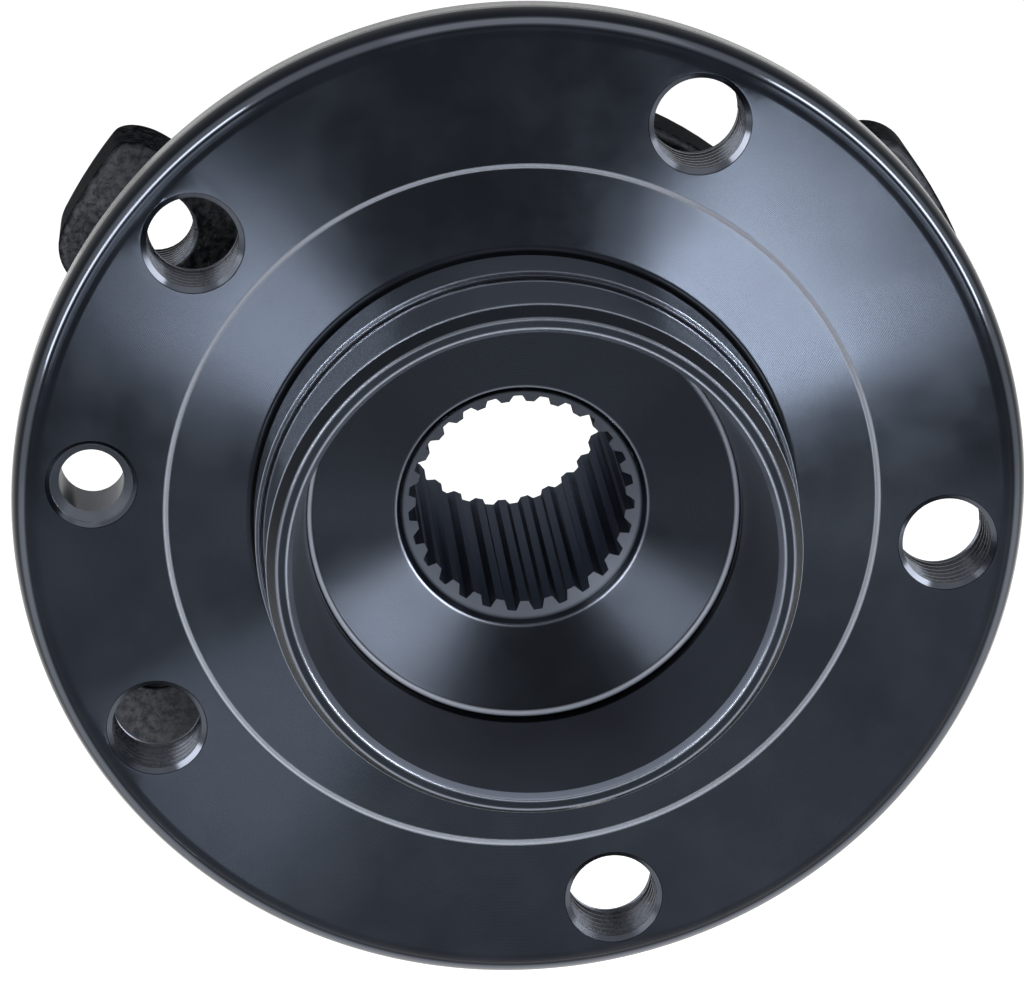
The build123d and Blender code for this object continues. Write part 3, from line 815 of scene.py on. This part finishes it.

# %% [markdown]
# The coat itself is a mirror with a very dark blue colour. Two tones drift over it
# in a slow cloud, and each place of the hub mixes in a colour of its own; the darker
# tone of the cup's floor is painted shade. Oil has dried in the bore and in the
# holes, so a duller shader shows through there.

# %% Coated steel
COAT_TONES = (0.0106, 0.0127, 0.0168), (0.0136, 0.0162, 0.0213)
BARE_STEEL_AND_HIGHLIGHT = (0.33, 0.36, 0.43)
DRIED_OIL = (0.115, 0.127, 0.152)
ZONE_COLOURS_AND_SHADE = [
    # The cup floor's darker tone is painted shade for the recess.
    ("cup_floor", (0.0082, 0.0096, 0.0125)), ("bore", (0.016, 0.018, 0.022)),
    ("in_hole", (0.034, 0.038, 0.046)), ("mouth", (0.06, 0.066, 0.08)),
    ("pilot_wall", (0.036, 0.043, 0.056)), ("cup_wall", (0.17, 0.19, 0.235)),
]


def coated_steel():
    finish = new_finish("coated_steel")
    point, radius, depth = lathe_place(finish)
    zones = hub_zones(finish, point, radius, depth)
    marks = feed_marks(finish, radius, depth, zones)

    cloud = finish.noise(point, 0.06, 4.0, 0.6)
    base = finish.mix(finish.between(cloud, 0.35, 0.7), *COAT_TONES)
    for zone, colour in ZONE_COLOURS_AND_SHADE:
        base = finish.mix(zones[zone], base, colour)
    # Painted highlight and wear: the edge lines are mixed towards bare steel.
    base = finish.mix(worn_and_highlit(finish, radius, depth, WORN_AND_HIGHLIT_EDGES), base, BARE_STEEL_AND_HIGHLIGHT)

    step, foot, cup_wall = zones["step"], zones["foot"], zones["cup_wall"]
    metallic = 1.0 - step * 0.85 - foot * 0.7 - cup_wall * 0.1
    rough = finish.between(cloud, 0.3, 0.75, 0.15, 0.23) + step * 0.3 - zones["rim"] * 0.08
    rough = rough + foot * 0.25 + cup_wall * 0.16
    glossy = finish.add("ShaderNodeBsdfPrincipled", None, {
        "Base Color": base, "Metallic": metallic, "Roughness": rough, "Normal": marks})
    dull = finish.add("ShaderNodeBsdfPrincipled", None, {
        "Base Color": DRIED_OIL, "Metallic": 1.0, "Roughness": 0.5,
        "Specular Tint": (0.12, 0.12, 0.13), "Normal": marks})
    dry = zones["bore"].func("MAXIMUM", zones["in_hole"] * 0.6)
    skin = finish.add("ShaderNodeMixShader", None, {0: dry, 1: glossy["BSDF"], 2: dull["BSDF"]})
    finish.tree.links.new(skin["Shader"].socket, finish.output.inputs["Surface"])
    return finish.owner


def wear(node, material):
    """Gives a solid of the frame its material. The solid itself stays as it is."""
    piece = nodes[node]
    piece.data.materials.clear()
    piece.data.materials.append(material)


hub.data.materials.append(coated_steel())
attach(hub, "hub")
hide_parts("hub_flange")
print("hub dressed in", hub.data.materials[0].name)

# %% [markdown]
# ## Cut threads
# The taps ran after the flange was coated, but oil and a little coating cover the
# flanks again, so the ridges are only a shade lighter than the flange. Their marks
# run round each hole and not round the hub, so this finish leaves the grooves out
# and has a fine grain instead.

# %% Thread steel
def thread_steel():
    finish = new_finish("thread_steel")
    point, _, _ = lathe_place(finish)
    grain = finish.noise(point, 2.2, 5.0, 0.6)
    base = finish.mix(finish.between(grain, 0.3, 0.7), (0.030, 0.033, 0.040), (0.048, 0.052, 0.062))
    rough = finish.between(grain, 0.3, 0.7, 0.24, 0.36)
    return finish.close(Base_Color=base, Metallic=1.0, Roughness=rough,
                        Normal=finish.bump(grain, 0.002 * MM))


tapped = thread_steel()
for thread in bolt_threads:
    thread.data.materials.append(tapped)
    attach(thread, "hub")
for thread in ear_threads:
    thread.data.materials.append(tapped)
    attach(thread, "outer")
print("threads dressed in", tapped.name)

# %% [markdown]
# ## Forged and phosphated steel
# The outer ring is a forging that is machined only where it has to fit: its front
# end, the face that meets the knuckle and the spigot behind it. The forged skin is
# a dark, dry phosphate with a scale of small pits. On the machined places the same
# phosphate lies on fine turning lines, so it looks smoother and a little lighter.

# %% Forged skin
def forged_skin():
    finish = new_finish("forged_skin")
    point, radius, depth = lathe_place(finish)
    behind = above(finish, depth, 42.7, 42.95)
    front = below(finish, depth, 12.4, 12.6)
    turned_zone = behind.func("MAXIMUM", front)

    scale = finish.noise(point, 0.9, 6.0, 0.62)
    blotch = finish.noise(point, 0.12, 3.0, 0.5)
    pits = finish.between(finish.noise(point, 1.7, 3.0, 0.5), 0.30, 0.42, 1.0, 0.0)
    lines = finish.noise(turning_lines(finish, radius, depth), 9.0, 2.0, 0.5)
    relief = (scale * 0.7 - pits * 0.5) * (1.0 - turned_zone) + lines * 0.10 * turned_zone
    skin = finish.mix(finish.between(scale, 0.35, 0.68),
                      (0.012, 0.013, 0.015), (0.045, 0.047, 0.052))
    skin = finish.mix(finish.between(blotch, 0.35, 0.7) * 0.5, skin, (0.022, 0.024, 0.028))
    flat = finish.mix(finish.between(lines, 0.3, 0.7), (0.045, 0.047, 0.052), (0.085, 0.088, 0.095))
    base = finish.mix(turned_zone, skin, flat)
    rough = finish.between(scale, 0.3, 0.75, 0.42, 0.62) - turned_zone * 0.14
    return finish.close(Base_Color=base, Metallic=1.0, Roughness=rough,
                        Specular_Tint=(0.15, 0.15, 0.16), Normal=finish.bump(relief, 0.07 * MM))


outer.data.materials.clear()
outer.data.materials.append(forged_skin())
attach(outer, "outer")
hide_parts("outer_ring")
print("outer ring dressed in", outer.data.materials[0].name)

# %% [markdown]
# ## Bearing steel
# Rings and balls are through-hardened steel. The rings are ground, which leaves
# very fine lines of uneven depth round the axis. The balls are lapped to a mirror,
# and only a faint haze of hair-thin scratches is left on them. Both use the same
# idea, a noise that is stretched along the lines or left even in all directions.

# %% Ground rings and lapped balls
def ground_steel():
    finish = new_finish("ground_steel")
    point, radius, depth = lathe_place(finish)
    lines = finish.noise(turning_lines(finish, radius, depth), 14.0, 4.0, 0.7)
    stain = finish.noise(point, 0.09, 3.0, 0.55)
    base = finish.mix(finish.between(lines, 0.3, 0.7), (0.42, 0.43, 0.45), (0.56, 0.57, 0.59))
    base = finish.mix(finish.between(stain, 0.45, 0.75) * 0.35, base, (0.36, 0.35, 0.34))
    rough = finish.between(lines, 0.3, 0.7, 0.18, 0.30)
    return finish.close(Base_Color=base, Metallic=1.0, Roughness=rough,
                        Normal=finish.bump(lines, 0.003 * MM))


def ball_steel():
    finish = new_finish("ball_steel")
    point, _, _ = lathe_place(finish)
    haze = finish.noise(point, 5.0, 5.0, 0.7)
    tone = finish.noise(point, 0.2, 2.0, 0.5)
    base = finish.mix(finish.between(tone, 0.35, 0.65), (0.60, 0.61, 0.63), (0.70, 0.71, 0.73))
    rough = finish.between(haze, 0.35, 0.7, 0.04, 0.12)
    return finish.close(Base_Color=base, Metallic=1.0, Roughness=rough,
                        Normal=finish.bump(haze, 0.0008 * MM))


wear("inner_ring", ground_steel())
lapped = ball_steel()
for name in nodes:
    if name.startswith("ball_"):
        wear(name, lapped)
print("bearing steel on", 1 + sum(name.startswith("ball_") for name in nodes), "pieces")

# %% [markdown]
# ## Cages and seals
# The crown cages are moulded from glass-filled nylon: a warm, slightly see-through
# white with flow marks and a dull skin. Each seal has a pressed sheet-steel case, a
# rubber lip bonded to it and a slinger that turns with the hub. The encoder is a
# ring of rubber filled with magnetic powder, which makes it dense, smooth and dark.

# %% Nylon
def cage_nylon():
    finish = new_finish("cage_nylon")
    point, _, _ = lathe_place(finish)
    flow = finish.noise(point, 0.35, 4.0, 0.6)
    grain = finish.noise(point, 4.0, 3.0, 0.6)
    base = finish.mix(finish.between(flow, 0.35, 0.7), (0.52, 0.46, 0.31), (0.66, 0.60, 0.44))
    rough = finish.between(grain, 0.3, 0.7, 0.38, 0.55)
    return finish.close(Base_Color=base, Roughness=rough,
                        Normal=finish.bump(grain + flow * 2.0, 0.006 * MM),
                        Subsurface_Weight=0.1, Subsurface_Scale=0.001)


nylon = cage_nylon()
wear("cage_outboard", nylon)
wear("cage_inboard", nylon)
print("cages dressed")

# %% Sheet steel and rubber
def sheet_steel():
    finish = new_finish("seal_sheet")
    point, radius, depth = lathe_place(finish)
    lines = finish.noise(turning_lines(finish, radius, depth), 7.0, 3.0, 0.6)
    dirt = finish.noise(point, 0.25, 4.0, 0.6)
    base = finish.mix(finish.between(lines, 0.3, 0.7), (0.30, 0.31, 0.32), (0.44, 0.45, 0.46))
    base = finish.mix(finish.between(dirt, 0.5, 0.8) * 0.5, base, (0.20, 0.195, 0.19))
    rough = finish.between(dirt, 0.3, 0.75, 0.26, 0.42)
    return finish.close(Base_Color=base, Metallic=1.0, Roughness=rough,
                        Normal=finish.bump(lines, 0.004 * MM))


def moulded_rubber(name, dark, light, ring_depth):
    """Rubber between two tones; ring_depth says how much the mould's turned rings show."""
    finish = new_finish(name)
    point, radius, depth = lathe_place(finish)
    grain = finish.noise(point, 3.0, 5.0, 0.65)
    rings = finish.noise(turning_lines(finish, radius, depth), 2.5, 2.0, 0.5)
    base = finish.mix(finish.between(grain, 0.3, 0.7), dark, light)
    rough = finish.between(grain, 0.3, 0.75, 0.48, 0.66)
    return finish.close(Base_Color=base, Roughness=rough,
                        Normal=finish.bump(grain * 0.6 + rings * ring_depth, 0.01 * MM))


sheet = sheet_steel()
lip_rubber = moulded_rubber("seal_rubber", (0.011, 0.011, 0.012), (0.026, 0.026, 0.028), 1.5)
for name in nodes:
    if name.startswith("seal_case") or name.startswith("slinger"):
        wear(name, sheet)
    elif name.startswith("seal_lip"):
        wear(name, lip_rubber)
encoder_rubber = moulded_rubber("encoder_rubber",
                                (0.026, 0.023, 0.022), (0.045, 0.040, 0.038), 3.0)
wear("encoder_ring", encoder_rubber)
bare_nodes = [name for name, piece in nodes.items() if not piece.hide_render
              and not (piece.data.materials and piece.data.materials[0].use_nodes)]
print("nodes without a finish:", bare_nodes)

# %% [markdown]
# ## The view transform
# The picture is shown with the plain view transform, so a colour comes out as it is written.

# %% Set the view transform
scene = bpy.context.scene
scene.view_settings.view_transform = "Standard"
